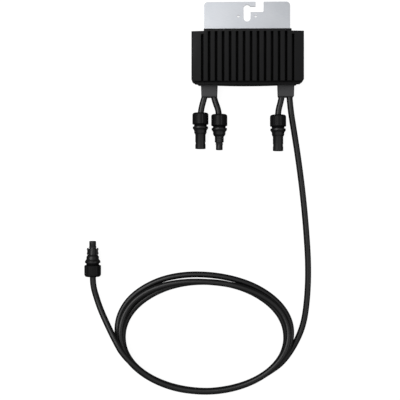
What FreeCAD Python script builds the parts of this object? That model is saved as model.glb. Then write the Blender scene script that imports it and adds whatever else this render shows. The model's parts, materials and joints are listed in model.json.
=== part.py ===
"""Module-level solar power optimiser with two input leads, a short and a long output lead.

It lies on its back: the bracket's back face is Z 0, the ribs point up (+Z), the bracket's
slotted end points to +Y and the leads leave towards -Y. X 0 and Y 0 are the case's middle.
"""
import FreeCAD, Part
import math
import os

Vector = FreeCAD.Vector
X_AXIS = Vector(1, 0, 0)
Y_AXIS = Vector(0, 1, 0)
Z_AXIS = Vector(0, 0, 1)

# ---------------------------------------------------------------- driving sizes, mm
# case
case_width = 167.0
case_length = 78.0
case_depth = 45.0
case_wall = 3.0
corner_chamfer = 2.2
parting_height = 9.0
gasket_thickness = 0.8
gasket_width = 2.0
flange_height = 6.0
flange_inset = 3.7
flange_lip = 0.6
tray_inset = 7.0
tray_floor = 2.0
inner_chamfer = 1.0
tray_lip = 1.4
front_bulge = 0.8
bulge_gap = 1.05
rim_reach = 3.4
rim_thickness = 3.5
rim_chamfer = 1.6

# cooling ribs
rib_count = 13
rib_pitch = 10.37
valley_floor_width = 2.4
valley_mouth_width = 3.2
valley_depth = 14.0
valley_runout = 9.0
rear_wall = 4.6
rib_edge = 0.8
rib_end_chamfer = 2.4
roof_thickness = 3.0
shoulder_step = 4.2
shoulder_drop = 1.6
shoulder_edge = 1.4

# mounting bracket
plate_thickness = 2.0
plate_width = 132.3
plate_reach = 50.0
plate_tuck = 69.0
plate_corner = 6.0
slot_width = 10.8
slot_start = 19.7
slot_end = 45.4
channel_low = 34.2
channel_high = 42.5
channel_reach = 25.5
channel_corner = 2.0
entry_near = 13.1
hole_radius = 1.6
hole_spacing = 26.6
hole_row = 27.6

# leads
lead_diameter = 9.3
lead_exit_height = 13.0
core_diameter = 5.6

# strain reliefs
relief_width = 25.3
relief_tip_width = 24.0
relief_reach = 20.7
relief_height = 16.4
relief_lip = 1.6
relief_lip_depth = 3.0
relief_edge = 2.0
input_relief_margin = 13.15
output_relief_margin = 12.25
lead_tuck = 9.4

# connectors, measured from the cap nut's cable end
nut_radius = 12.25
nut_lobe_radius = 12.85
nut_lobe_count = 8
nut_lobe_size = 2.3
nut_length = 17.5
nut_end_wall = 4.0
nut_corner = 2.6
nut_mouth_clearance = 1.5
thread_pitch = 1.5
thread_radius = 9.3
running_gap = 0.3
neck_radius = 9.75
flange_radius = 11.7
waist_radius = 9.45
shell_radius = 7.87
shell_length = 54.9
mouth_radius = 6.95
mouth_depth = 10.0
socket_bore_radius = 5.35
socket_bore_end = 32.0
window_width = 5.8
window_near = 6.8
window_far = 10.4
probe_radius = 5.15
probe_length = 54.5
collar_radius = 6.8
collar_start = 33.6
collar_end = 42.7
latch_width = 5.2
latch_inner = 6.6
latch_outer = 8.5
latch_tip = 43.9
latch_pivot = 34.6
latch_pocket_floor = 4.9
o_ring_section = 1.5
groove_start = 44.5
crimp_radius = 2.5
crimp_start = 22.4
contact_radius = 2.0
contact_tip = 44.4
contact_tube_radius = 3.0
seal_start = 8.3
seal_end = 15.5
seal_radius = 8.0
ring_clearance = 1.05
ring_outer_radius = 9.2

# fixings
screw_radius = 1.5
screw_head_radius = 2.75
screw_head_height = 2.0
screw_clearance = 0.2
boss_radius = 4.0
boss_gap = 0.3
boss_sink = 0.6
board_screw_length = 3.0
left_screw_step = 8.0
right_screw_step = 21.0
screw_edge = 5.5
screw_end = 9.0
cover_screw_length = 16.0
rivet_radius = 2.0
rivet_head_radius = 3.4
rivet_head_height = 1.0
rivet_spacing_x = 84.0
rivet_front = 19.0
rivet_back = 21.0

# circuit board and what it carries
board_gap = 1.5
board_front_gap = 5.9
board_back_gap = 5.9
board_thickness = 1.6
board_height = 7.6
film_thickness = 0.4
pad_thickness = 1.2
power_chip_size = (10.0, 12.0, 4.5)
power_chip_gap = 3.0
power_chip_centres = [-36.0, -22.0, -8.0, 6.0, 22.0]
post_size = 7.0
inductor_size = (32.0, 24.0, 15.0)
inductor_offset = (-14.0, -8.9)
leg_width = 9.0
contact_bore_length = 14.0
choke_setback = 20.0
choke_gap = 2.0
shunt_setback = 14.0
shunt_depth = 5.0
input_capacitor_start = 16.0
output_capacitor_shift = 0.25
controller_start = 16.0
transformer_start = 11.0

# lead ends: axis X, Y of the cap nut's cable end
input_socket_at = (-71.3, -83.1)
input_plug_at = (-42.55, -85.4)
output_socket_at = (46.9, -86.5)
output_plug_at = (-236.3, -333.3)

# ---------------------------------------------------------------- lead routes, chosen by hand
exit_z = lead_exit_height
input_socket_route = [
    (-62.6, -50.3, exit_z), (-67.0, -65.4, exit_z), (-70.4, -78.4, exit_z),
    (-71.3, -92.0, exit_z), (-71.3, -105.1, exit_z)]
input_plug_route = [
    (-52.8, -50.3, exit_z), (-49.1, -65.8, exit_z), (-43.9, -78.6, exit_z),
    (-42.6, -93.4, exit_z), (-42.55, -107.4, exit_z)]
output_socket_route = [
    (53.7, -50.3, exit_z), (51.4, -65.5, exit_z), (47.3, -79.0, exit_z),
    (46.7, -94.0, exit_z), (46.9, -108.5, exit_z)]
output_lead_route = [
    (63.6, -50.3, 13.0), (65.0, -68.0, 12.7), (67.2, -86.0, 11.3), (71.9, -113.0, 8.6),
    (78.2, -152.0, 5.9), (85.2, -205.0, 4.8), (90.6, -262.0, 4.7), (94.0, -318.0, 4.65),
    (92.3, -367.0, 4.7), (86.4, -408.5, 4.65), (71.8, -440.5, 4.7), (54.0, -465.5, 4.65)]
output_tail_route = [
    (-168.0, -467.0, 32.6), (-185.5, -451.0, 33.0), (-200.0, -426.9, 29.2), (-213.0, -403.8, 21.8),
    (-223.8, -382.5, 16.6), (-230.8, -363.7, 13.8), (-235.4, -347.8, 13.1), (-236.3, -330.0, 13.0),
    (-236.3, -311.3, 13.0)]

# the coil's envelope: an oval ring, higher where its turns lie on each other
coil_outer = (-65.8, -420.4, 137.2, 93.8)
coil_inner = (-66.0, -422.3, 120.4, 75.6)
coil_low_height = 18.5
coil_high_height = 37.0


# ---------------------------------------------------------------- sizes that follow
half_width = case_width / 2
front = -case_length / 2
back = case_length / 2
cover_bottom = parting_height + gasket_thickness
flange_top = cover_bottom + flange_height
ceiling = case_depth - valley_depth - roof_thickness
shoulder_back = back - shoulder_step
shoulder_inner = rib_count * rib_pitch / 2 - valley_mouth_width / 2 - rib_edge
tray_half_width = half_width - tray_inset
flange_half_width = half_width - flange_inset
wall_inner_x = tray_half_width - case_wall
wall_inner_front = front + case_wall
wall_inner_back = shoulder_back - case_wall
floor_top = plate_thickness + tray_floor

input_relief_x = -half_width + input_relief_margin + relief_width / 2
output_relief_x = half_width - output_relief_margin - relief_width / 2
reliefs = [input_relief_x, output_relief_x]
bulge_half_width = -input_relief_x - relief_width / 2 - bulge_gap
relief_low = lead_exit_height - relief_height / 2
relief_high = lead_exit_height + relief_height / 2
relief_tip = front - relief_reach
relief_inner_y = wall_inner_front + relief_lip_depth
core_start = relief_tip + lead_tuck + lead_diameter / 5

board_half_length = wall_inner_x - board_gap
board_front = wall_inner_front + board_front_gap
board_back = wall_inner_back - board_back_gap
board_middle = (board_front + board_back) / 2
board_top = board_height + board_thickness
cover_screw_x = wall_inner_x - boss_radius + boss_sink
cover_screw_places = [(side * cover_screw_x, y) for side in (-1, 1)
                      for y in (relief_inner_y + boss_gap + boss_radius,
                                wall_inner_back - boss_radius + boss_sink)]
cover_screw_head = plate_thickness + screw_head_height + screw_clearance
cover_screw_tip = cover_screw_head + cover_screw_length
board_screw_places = [(-rivet_spacing_x / 2 + left_screw_step, board_front + screw_edge),
                      (rivet_spacing_x / 2 - right_screw_step, board_front + screw_edge),
                      (-board_half_length + screw_end, board_back - screw_edge),
                      (board_half_length - screw_end, board_back - screw_edge)]
rivet_places = [(side * rivet_spacing_x / 2, y) for side in (-1, 1)
                for y in (front + rivet_front, back - rivet_back)]
chip_width, chip_depth, chip_height = power_chip_size
chip_back = board_back - power_chip_gap
chip_front = chip_back - chip_depth
pedestal_low = board_top + chip_height + pad_thickness
post_y = board_front + post_size / 2 + 1.0
post_places = [input_relief_x - 2.7, input_relief_x + 5.7, output_relief_x - 6.4,
               output_relief_x + 2.2]

# ---------------------------------------------------------------- shape helpers
def box(x0, x1, y0, y1, z0, z1):
    """A block between two corners."""
    return Part.makeBox(x1 - x0, y1 - y0, z1 - z0, Vector(x0, y0, z0))


def rod(radius, start, length, direction=Z_AXIS):
    """A round bar from start along direction."""
    return Part.makeCylinder(radius, length, Vector(*start), direction)


def prism(outline, lift):
    """A closed outline of points, extruded along the vector lift."""
    points = [Vector(*p) for p in outline]
    return Part.Face(Part.makePolygon(points + points[:1])).extrude(lift)


def joined(shapes):
    """One solid out of shapes that touch."""
    whole = shapes[0].multiFuse(shapes[1:]).removeSplitter()
    return whole.Solids[0] if len(whole.Solids) == 1 else whole


def group(shapes):
    """Separate solids that share a node."""
    return Part.makeCompound(shapes)


def turned(profile):
    """A solid of revolution about Z from (radius, height) points."""
    outline = [(radius, 0, height) for radius, height in profile]
    points = [Vector(*p) for p in outline]
    face = Part.Face(Part.makePolygon(points + points[:1]))
    return face.revolve(Vector(0, 0, 0), Z_AXIS, 360)


def pipe(outer, inner, start, length, direction=Z_AXIS):
    """A round tube."""
    return rod(outer, start, length, direction).cut(rod(inner, start, length, direction))


def slab(half_width, front, back, low, high, chamfer, bulge=0.0):
    """A flat block, chamfered at its four corners, with its front edge bowed out by bulge."""
    right_side = [(half_width, front + chamfer), (half_width, back - chamfer),
                  (half_width - chamfer, back)]
    left_side = [(-x, y) for x, y in reversed(right_side)]
    outline = [(half_width - chamfer, front)] + right_side + left_side
    outline.append((-half_width + chamfer, front))
    corners = [Vector(x, y, low) for x, y in outline]
    edges = [Part.LineSegment(a, b).toShape() for a, b in zip(corners, corners[1:])]
    if bulge:
        left = Vector(-bulge_half_width, front, low)
        right = Vector(bulge_half_width, front, low)
        middle = Vector(0, front - bulge, low)
        edges.append(Part.LineSegment(corners[-1], left).toShape())
        edges.append(Part.Arc(left, middle, right).toShape())
        edges.append(Part.LineSegment(right, corners[0]).toShape())
    else:
        edges.append(Part.LineSegment(corners[-1], corners[0]).toShape())
    return Part.Face(Part.Wire(edges)).extrude(Vector(0, 0, high - low))


def lead(route, name):
    """A round lead along straight runs joined by tangent arcs; prints its length and radii."""
    points = [Vector(*p) for p in route]
    edges = []
    radii = []
    start = points[0]
    for before, corner, after in zip(points, points[1:], points[2:]):
        back = before - corner
        ahead = after - corner
        turn = math.pi - back.getAngle(ahead)
        reach = 0.45 * min(back.Length, ahead.Length)
        radius = reach / math.tan(turn / 2)
        radii.append(radius)
        back.normalize()
        ahead.normalize()
        enter = corner + back * reach
        leave = corner + ahead * reach
        inward = back + ahead
        inward.normalize()
        centre = corner + inward * (radius / math.cos(turn / 2))
        middle = centre - inward * radius
        edges.append(Part.LineSegment(start, enter).toShape())
        edges.append(Part.Arc(enter, middle, leave).toShape())
        start = leave
    edges.append(Part.LineSegment(start, points[-1]).toShape())
    path = Part.Wire(edges)
    section = Part.Circle(points[0], points[1] - points[0], lead_diameter / 2)
    ring = Part.Wire(section.toShape())
    solid = path.makePipeShell([ring], True, False)
    expected = math.pi * lead_diameter ** 2 / 4 * path.Length
    print(f"{name}: length {path.Length:.1f}, volume ratio {solid.Volume / expected:.4f}, "
          f"smallest radius {min(radii):.1f}, radii {[round(r) for r in radii]}")
    return solid


# ---------------------------------------------------------------- case
def relief_notch(centre):
    """The gap that a strain relief's waist sits in."""
    half = relief_width / 2 - relief_lip
    return box(centre - half, centre + half, front - 2 * tray_lip, wall_inner_front + 1,
               relief_low + relief_lip, relief_high - relief_lip)


def valley(centre, rear):
    """The space between two ribs: rises to the front edge, closed by a wall at the rear."""
    floor = case_depth - valley_depth
    above = case_depth + 2
    edge_low = case_depth - rib_edge
    f, m, w = valley_floor_width / 2, valley_mouth_width / 2, valley_mouth_width / 2 + rib_edge
    low_y = front - 1
    high_y = rear - rear_wall
    section = prism(
        [(centre - f, low_y, floor), (centre + f, low_y, floor), (centre + m, low_y, edge_low),
         (centre + w, low_y, case_depth), (centre + w, low_y, above),
         (centre - w, low_y, above), (centre - w, low_y, case_depth),
         (centre - m, low_y, edge_low)], Vector(0, high_y - low_y, 0))
    ramp = prism(
        [(centre - w, low_y, above), (centre - w, high_y, above), (centre - w, high_y, floor),
         (centre - w, front + valley_runout, floor), (centre - w, front + 0.35 * valley_runout,
         floor + 0.22 * valley_depth), (centre - w, front, floor + 0.75 * valley_depth),
         (centre - w, low_y, floor + 0.75 * valley_depth)],
        Vector(2 * w, 0, 0))
    return section.common(ramp)


def heatsink_cover():
    body = slab(half_width, front, back, flange_top, case_depth, corner_chamfer)
    flange = slab(flange_half_width, front - flange_lip, shoulder_back, cover_bottom, flange_top,
                  corner_chamfer)
    far = half_width + 1
    for side in (-1, 1):
        near = side * shoulder_inner
        body = body.cut(prism(
            [(near, shoulder_back, cover_bottom), (side * far, shoulder_back, cover_bottom),
             (side * far, back + 1, cover_bottom), (near, back + 1, cover_bottom)],
            Vector(0, 0, case_depth)))
        slope = case_depth - shoulder_drop
        outer = half_width - shoulder_edge
        body = body.cut(prism(
            [(near, front - 1, case_depth), (side * outer, front - 1, slope),
             (side * far, front - 1, slope - shoulder_edge - 1), (side * far, front - 1, case_depth + 1),
             (near, front - 1, case_depth + 1)], Vector(0, case_length + 2, 0)))
    body = body.cut(prism(
        [(-far, back - rib_end_chamfer, case_depth + 0.01), (-far, back + 0.01, case_depth + 0.01),
         (-far, back + 0.01, case_depth - 1.6 * rib_end_chamfer)], Vector(2 * far, 0, 0)))
    rim_top = case_depth - valley_depth
    rim = slab(flange_half_width, front - rim_reach, shoulder_back, rim_top - rim_thickness,
               rim_top, rim_chamfer)
    body = joined([body, flange, rim])
    first = -rib_count * rib_pitch / 2
    valleys = [valley(first + i * rib_pitch, back) for i in range(1, rib_count)]
    valleys += [valley(side * first, shoulder_back) for side in (-1, 1)]
    body = body.cut(group(valleys))
    hollow = slab(wall_inner_x, wall_inner_front, wall_inner_back, cover_bottom - 1, ceiling,
                  inner_chamfer)
    body = body.cut(hollow)
    posts = []
    for x, y in cover_screw_places:
        posts.append(rod(boss_radius, (x, y, cover_bottom), ceiling - cover_bottom + 0.5))
    pedestals = [box(x - chip_width / 2 - 0.5, x + chip_width / 2 + 0.5, chip_front - 0.5,
                     chip_back + 0.5, pedestal_low, ceiling + 0.5) for x in power_chip_centres]
    body = joined([body] + posts + pedestals)
    holes = [rod(screw_radius, (x, y, cover_bottom - 1), cover_screw_tip - cover_bottom + 1)
             for x, y in cover_screw_places]
    return body.cut(group(holes + [relief_notch(x) for x in reliefs]))


def base_tray():
    body = slab(tray_half_width, front - tray_lip, shoulder_back, plate_thickness, parting_height,
                corner_chamfer, front_bulge)
    body = body.cut(slab(wall_inner_x, wall_inner_front, wall_inner_back,
                         floor_top, parting_height + 1, inner_chamfer))
    bosses = [rod(boss_radius, (x, y, floor_top - 0.5), board_height - floor_top + 0.5)
              for x, y in board_screw_places]
    bosses += [rod(boss_radius, (x, y, plate_thickness), parting_height - plate_thickness)
               for x, y in cover_screw_places]
    body = joined([body] + bosses)
    holes = [rod(screw_radius, (x, y, board_height - board_screw_length), board_screw_length + 1)
             for x, y in board_screw_places]
    for x, y in cover_screw_places:
        holes.append(rod(screw_radius + screw_clearance, (x, y, 0), parting_height + 1))
        holes.append(rod(screw_head_radius + screw_clearance, (x, y, 0), cover_screw_head))
    holes += [rod(rivet_radius, (x, y, 0), parting_height) for x, y in rivet_places]
    return body.cut(group(holes + [relief_notch(x) for x in reliefs]))


def case_gasket():
    outer = slab(tray_half_width - 0.2, front + 0.2, shoulder_back - 0.2, parting_height,
                 cover_bottom, corner_chamfer)
    inner = slab(tray_half_width - 0.2 - gasket_width, front + 0.2 + gasket_width,
                 shoulder_back - 0.2 - gasket_width, parting_height - 1, cover_bottom + 1,
                 corner_chamfer / 2)
    return outer.cut(inner).cut(group([relief_notch(x) for x in reliefs]))


def mounting_bracket():
    top = back + plate_reach
    plate = box(-plate_width / 2, plate_width / 2, top - plate_reach - plate_tuck, top, 0,
                plate_thickness)
    corners = [e for e in plate.Edges if e.BoundBox.ZLength > plate_thickness / 2
               and e.BoundBox.YMin > back]
    plate = plate.makeFillet(plate_corner, corners)
    under, over = -1, plate_thickness + 1
    r = slot_width / 2
    slot = box(-r, r, back + slot_start + r, back + slot_end - r, under, over)
    ends = [rod(r, (0, back + slot_start + r, under), over - under),
            rod(r, (0, back + slot_end - r, under), over - under)]
    cross = box(0, channel_reach, back + channel_low, back + channel_high, under, over)
    entry = box(entry_near, channel_reach, back + channel_low, top + 1, under, over)
    keyway = joined([slot, cross, entry] + ends)
    inner_corners = [e for e in keyway.Edges if e.BoundBox.ZLength > 1
                     and abs(e.BoundBox.XMin - channel_reach) < 0.01
                     and abs(e.BoundBox.YMin - back - channel_low) < 0.01]
    keyway = keyway.makeFillet(channel_corner, inner_corners)
    holes = [rod(hole_radius, (side * hole_spacing / 2, back + hole_row, under), over - under)
             for side in (-1, 1)]
    holes += [rod(rivet_radius, (x, y, under), over - under) for x, y in rivet_places]
    holes += [Part.makeCone(rivet_head_radius, rivet_radius, rivet_head_height, Vector(x, y, 0))
              for x, y in rivet_places]
    return plate.cut(keyway).cut(group(holes))


def rivet(x, y):
    """Flush countersunk head at the bracket's back, formed head inside the tray."""
    head = Part.makeCone(rivet_head_radius, rivet_radius, rivet_head_height, Vector(x, y, 0))
    shank = rod(rivet_radius, (x, y, 0), floor_top)
    formed = rod(rivet_head_radius, (x, y, floor_top), rivet_head_height)
    return joined([head, shank, formed])


def screw(x, y, head_face, length, upward):
    """A pan-head screw; its shank runs up from the head, or down."""
    sign = 1 if upward else -1
    direction = Vector(0, 0, sign)
    head = rod(screw_head_radius, (x, y, head_face), screw_head_height, -direction)
    shank = rod(screw_radius, (x, y, head_face - sign * 0.5), length + 0.5, direction)
    drive = rod(screw_head_radius * 0.45, (x, y, head_face - sign * screw_head_height),
                screw_head_height * 0.5, direction)
    return joined([head, shank]).cut(drive)


# ---------------------------------------------------------------- board and what it carries

def circuit_board():
    body = box(-board_half_length, board_half_length, board_front, board_back, board_height,
               board_top)
    holes = [rod(screw_radius, (x, y, board_height - 1), board_thickness + 2)
             for x, y in board_screw_places]
    corner_room = [box(x - boss_radius - 0.4, x + boss_radius + 0.4, y - boss_radius - 0.4,
                       y + boss_radius + 0.4, board_height - 1, board_top + 1)
                   for x, y in cover_screw_places]
    return body.cut(group(holes + corner_room))


def insulation_sheet():
    edge = board_half_length - 2 * boss_radius
    sheet = box(-edge, edge, board_front + 1, board_back - 1, floor_top,
                floor_top + film_thickness)
    holes = [rod(boss_radius + boss_gap, (x, y, floor_top - 1), 3) for x, y in board_screw_places]
    holes += [rod(rivet_head_radius + boss_gap, (x, y, floor_top - 1), 3)
              for x, y in rivet_places]
    return sheet.cut(group(holes))


def power_chips(centres):
    """Flat power packages, metal tab side up, with three legs each at the front."""
    chips = []
    for x in centres:
        body = box(x - chip_width / 2, x + chip_width / 2, chip_front, chip_back, board_top,
                   board_top + chip_height)
        legs = [box(x + k * 2.54 - 0.4, x + k * 2.54 + 0.4, chip_front - 5, chip_front + 0.5,
                    board_top, board_top + 1.0) for k in (-1, 0, 1)]
        chips.append(joined([body] + legs))
    return group(chips)


def thermal_pads():
    low = board_top + chip_height
    return group([box(x - chip_width / 2 + 0.3, x + chip_width / 2 - 0.3, chip_front + 0.3,
                      chip_back - 0.3, low, low + pad_thickness) for x in power_chip_centres])


def inductor_core():
    """Ferrite core: a frame with a middle leg, its windows open to front and back."""
    x, y = inductor_offset[0], board_middle + inductor_offset[1]
    w, d, h = inductor_size
    body = box(x - w / 2, x + w / 2, y - d / 2 + 4, y + d / 2 - 4, board_top, board_top + h)
    for side in (-1, 1):
        near = side * leg_width / 2
        far = side * (w / 2 - leg_width / 2)
        low_x, high_x = min(near, far), max(near, far)
        body = body.cut(box(x + low_x, x + high_x, y - d, y + d, board_top + 3, board_top + h - 3))
    return body


def inductor_winding():
    """Wire wound round the core's middle leg."""
    x, y = inductor_offset[0], board_middle + inductor_offset[1]
    w, d, h = inductor_size
    outer = w / 2 - leg_width / 2 - 0.3
    low, high = board_top + 3.2, board_top + h - 3.2
    coil = box(x - outer, x + outer, y - d / 2, y + d / 2, low, high)
    leg = box(x - leg_width / 2, x + leg_width / 2, y - d / 2 + 4, y + d / 2 - 4, low - 1, high + 1)
    feet = [box(x + k * outer / 2 - 1, x + k * outer / 2 + 1, y - d / 2, y - d / 2 + 2,
                board_top, low + 0.5) for k in (-1, 1)]
    return joined([coil] + feet).cut(leg)


def input_capacitors():
    """Three box capacitors behind the input posts."""
    left = -board_half_length + 14
    low_y = board_front + input_capacitor_start
    high_y = board_back - choke_setback - choke_gap
    return group([box(left + i * 8, left + i * 8 + 6.5, low_y, high_y, board_top,
                      board_top + 13) for i in range(3)])


def output_capacitors():
    """Three round capacitors behind the output posts."""
    right = board_half_length - 12
    post_back = post_y + post_size / 2
    shunt_front = board_back - shunt_setback - shunt_depth / 2
    y = (post_back + shunt_front) / 2 + output_capacitor_shift
    return group([rod(5.0, (right - i * 11.5, y, board_top), 16) for i in range(3)])


def controller_chip():
    x, y = 14.0, board_front + controller_start
    body = box(x - 5, x + 5, y - 5, y + 5, board_top, board_top + 1.4)
    pins = []
    for i in range(7):
        offset = (i - 3) * 1.4
        pins.append(box(x + offset - 0.3, x + offset + 0.3, y - 6.2, y + 6.2, board_top,
                        board_top + 0.4))
        pins.append(box(x - 6.2, x + 6.2, y + offset - 0.3, y + offset + 0.3, board_top,
                        board_top + 0.4))
    return joined([body] + pins)


def line_filter_choke():
    """Wound ring core standing on two feet."""
    x = -board_half_length + 11
    y = board_back - choke_setback
    z = board_top + 9.2
    ring = pipe(8.0, 4.5, (x, y, z), 7.0, Y_AXIS)
    windings = pipe(8.8, 3.6, (x, y + 1, z), 5.0, Y_AXIS)
    gap = box(x - 1, x + 1, y - 1, y + 9, board_top, board_top + 20)
    feet = [box(x + k * 5 - 1, x + k * 5 + 1, y + 1.5, y + 5.5, board_top, board_top + 3.6)
            for k in (-1, 1)]
    return joined([ring, windings.cut(gap)] + feet)


def comms_transformer():
    x, y = 31.0, board_front + transformer_start
    core = box(x - 6, x + 6, y - 5, y + 5, board_top, board_top + 9.0)
    bobbin = box(x - 4, x + 4, y - 6.5, y + 6.5, board_top, board_top + 7.5)
    return joined([core, bobbin])


def board_fuse():
    """A round fuse in its two clips."""
    x, y = board_half_length - 29, board_back - 10
    z = board_top + 4.4
    body = rod(2.6, (x - 8, y, z), 16, X_AXIS)
    caps = [rod(3.1, (x - 8.5, y, z), 4, X_AXIS), rod(3.1, (x + 4.5, y, z), 4, X_AXIS)]
    feet = [box(x + k * 6.2 - 1, x + k * 6.2 + 1, y - 1, y + 1, board_top, board_top + 3)
            for k in (-1, 1)]
    return joined([body] + caps + feet)


def current_shunt():
    """A bent strip on two feet."""
    x, y = board_half_length - 12, board_back - shunt_setback
    low_y, high_y = y - shunt_depth / 2, y + shunt_depth / 2
    outer = box(x - 7, x + 7, low_y, high_y, board_top, board_top + 4)
    return outer.cut(box(x - 5.5, x + 5.5, low_y - 1, high_y + 1, board_top - 1, board_top + 2.6))


def terminal_posts():
    """Drilled brass posts that the lead cores end in."""
    top = lead_exit_height + core_diameter / 2 + 1.2
    posts = [box(x - post_size / 2, x + post_size / 2, post_y - post_size / 2,
                 post_y + post_size / 2, board_top, top) for x in post_places]
    bores = [rod(core_diameter / 2, (x, post_y - post_size, lead_exit_height), 2 * post_size,
                 Y_AXIS) for x in post_places]
    return group([post.cut(bore) for post, bore in zip(posts, bores)])


def inner_leads(places):
    """Single cores from the leads' ends inside the strain relief to the terminal posts."""
    length = post_y + post_size / 2 - core_start
    return group([rod(core_diameter / 2, (x, core_start, lead_exit_height), length, Y_AXIS)
                  for x in places])


def strain_relief(centre, leads):
    """A moulded block clamped in the case wall, with its leads through it."""
    root = front - tray_lip
    w, t = relief_width / 2, relief_tip_width / 2
    outer = prism([(centre - w, root, relief_low), (centre + w, root, relief_low),
                   (centre + t, relief_tip, relief_low), (centre - t, relief_tip, relief_low)],
                  Vector(0, 0, relief_height))
    edges = [e for e in outer.Edges if e.BoundBox.YMax < root - 0.1
             or e.BoundBox.YLength > relief_reach / 2]
    outer = outer.makeFillet(relief_edge, edges)
    waist = box(centre - w + relief_lip, centre + w - relief_lip, root - 3,
                wall_inner_front + 0.5, relief_low + relief_lip, relief_high - relief_lip)
    lip = box(centre - w, centre + w, wall_inner_front, relief_inner_y, relief_low, relief_high)
    body = joined([outer, waist, lip])
    return body.cut(group(leads))


# ---------------------------------------------------------------- connectors, along local Z
root_end = seal_end + 0.3
ring_inner_radius = lead_diameter / 2 + ring_clearance
chamber_radius = lead_diameter / 2 + 0.4


def rear_profile():
    """Outline of a connector body's rear: thread, neck, flared flange and waist."""
    return [(thread_radius, nut_end_wall + 4.0), (thread_radius, nut_length - 0.2),
            (neck_radius, nut_length + running_gap), (neck_radius, 20.8), (flange_radius, 21.2),
            (flange_radius, 24.0), (flange_radius - 0.8, 24.8), (waist_radius, 27.2),
            (waist_radius, 30.4)]


def rear_bores():
    """Seal seat, cable room and crimp room, from the rear end."""
    rear = nut_end_wall + 4.0
    return [rod(seal_radius, (0, 0, rear - 1), root_end - rear + 1),
            rod(chamber_radius, (0, 0, rear - 1), crimp_start + 0.3 - rear + 1),
            rod(crimp_radius + 0.1, (0, 0, crimp_start), socket_bore_end - crimp_start + 1)]


def socket_shell():
    """Cylindrical shell; its mouth takes the plug's collar and its bore the probe."""
    profile = [(0, nut_end_wall + 4.0)] + rear_profile() + [
        (shell_radius, 33.4), (shell_radius, shell_length - 0.6),
        (shell_radius - 0.6, shell_length), (0, shell_length)]
    body = turned(profile)
    mouth = shell_length - mouth_depth
    cuts = rear_bores()
    cuts.append(rod(mouth_radius, (0, 0, mouth), mouth_depth + 1))
    cuts.append(rod(socket_bore_radius, (0, 0, socket_bore_end), mouth - socket_bore_end + 1))
    for side in (-1, 1):
        low, high = sorted((side * (mouth_radius - 1.5), side * (shell_radius + 1)))
        cuts.append(box(low, high, -window_width / 2, window_width / 2,
                        shell_length - window_far, shell_length - window_near))
    return body.cut(group(cuts))


def plug_body():
    """Probe with a collar; the collar has a pocket under each latch."""
    profile = [(0, nut_end_wall + 4.0)] + rear_profile() + [
        (8.9, 31.6), (7.4, collar_start), (collar_radius, collar_start), (collar_radius, collar_end),
        (probe_radius, collar_end), (probe_radius, probe_length - 0.8),
        (probe_radius - 0.6, probe_length), (0, probe_length)]
    body = turned(profile)
    cuts = rear_bores()
    cuts.append(pipe(probe_radius + 1, probe_radius - o_ring_section / 2, (0, 0, groove_start),
                     o_ring_section + 0.1))
    cuts.append(rod(contact_tube_radius + 0.05, (0, 0, socket_bore_end), probe_length))
    pocket = latch_width / 2 + running_gap
    for side in (-1, 1):
        low, high = sorted((side * latch_pocket_floor, side * (collar_radius + 1)))
        cuts.append(box(low, high, -pocket, pocket, collar_start, collar_end + 0.01))
    return body.cut(group(cuts))


def cap_nut():
    """Cap with grip lobes and rounded cable end."""
    body = rod(nut_radius, (0, 0, 0), nut_length)
    lobes = []
    for i in range(nut_lobe_count):
        a = 2 * math.pi * i / nut_lobe_count
        reach = nut_lobe_radius - nut_lobe_size
        lobes.append(rod(nut_lobe_size, (reach * math.cos(a), reach * math.sin(a), 1.2),
                         nut_length - 2.6))
    body = joined([body] + lobes)
    c = nut_corner
    rounding = turned([(nut_lobe_radius + 0.1, -0.1), (nut_lobe_radius + 0.1, c + 0.4),
                       (nut_radius - 0.12 * c, 0.45 * c), (nut_radius - 0.45 * c, 0.12 * c),
                       (nut_radius - c - 0.4, -0.1)])
    body = body.cut(rounding)
    room = rod(thread_radius + running_gap, (0, 0, nut_end_wall), nut_length)
    mouth = rod(lead_diameter / 2 + nut_mouth_clearance, (0, 0, -1), nut_end_wall + 2)
    return body.cut(group([room, mouth]))


def clamp_ring():
    """Slotted ring that the cap presses on the seal."""
    low = nut_end_wall + running_gap
    ring = pipe(ring_outer_radius, ring_inner_radius, (0, 0, low), nut_end_wall - 2 * running_gap)
    slots = []
    for i in range(6):
        cut = box(ring_inner_radius - 1, ring_outer_radius - 1.2, -0.5, 0.5, low + 1.2, low + 10)
        cut.rotate(Vector(0, 0, 0), Z_AXIS, 60 * i)
        slots.append(cut)
    return ring.cut(group(slots))


def cable_seal():
    """Solid here; the lead that runs through it is cut out once it is placed."""
    return rod(seal_radius, (0, 0, seal_start), seal_end - seal_start)


def contact_pin():
    barrel = rod(crimp_radius, (0, 0, crimp_start), socket_bore_end - crimp_start)
    pin = rod(contact_radius, (0, 0, crimp_start), contact_tip - crimp_start - 1)
    nose = Part.makeCone(contact_radius, contact_radius * 0.55, 1.0, Vector(0, 0, contact_tip - 1))
    return joined([barrel, pin, nose])


def contact_tube():
    barrel = rod(crimp_radius, (0, 0, crimp_start), socket_bore_end - crimp_start + 0.5)
    tube = rod(contact_tube_radius, (0, 0, socket_bore_end), probe_length - 0.6 - socket_bore_end)
    body = joined([barrel, tube])
    bore = probe_length - 0.6 - contact_bore_length
    return body.cut(rod(contact_radius + 0.03, (0, 0, bore), contact_bore_length + 1))


def o_ring():
    middle = groove_start + o_ring_section / 2 + 0.05
    return Part.makeTorus(probe_radius, o_ring_section / 2 - 0.02, Vector(0, 0, middle), Z_AXIS)


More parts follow.
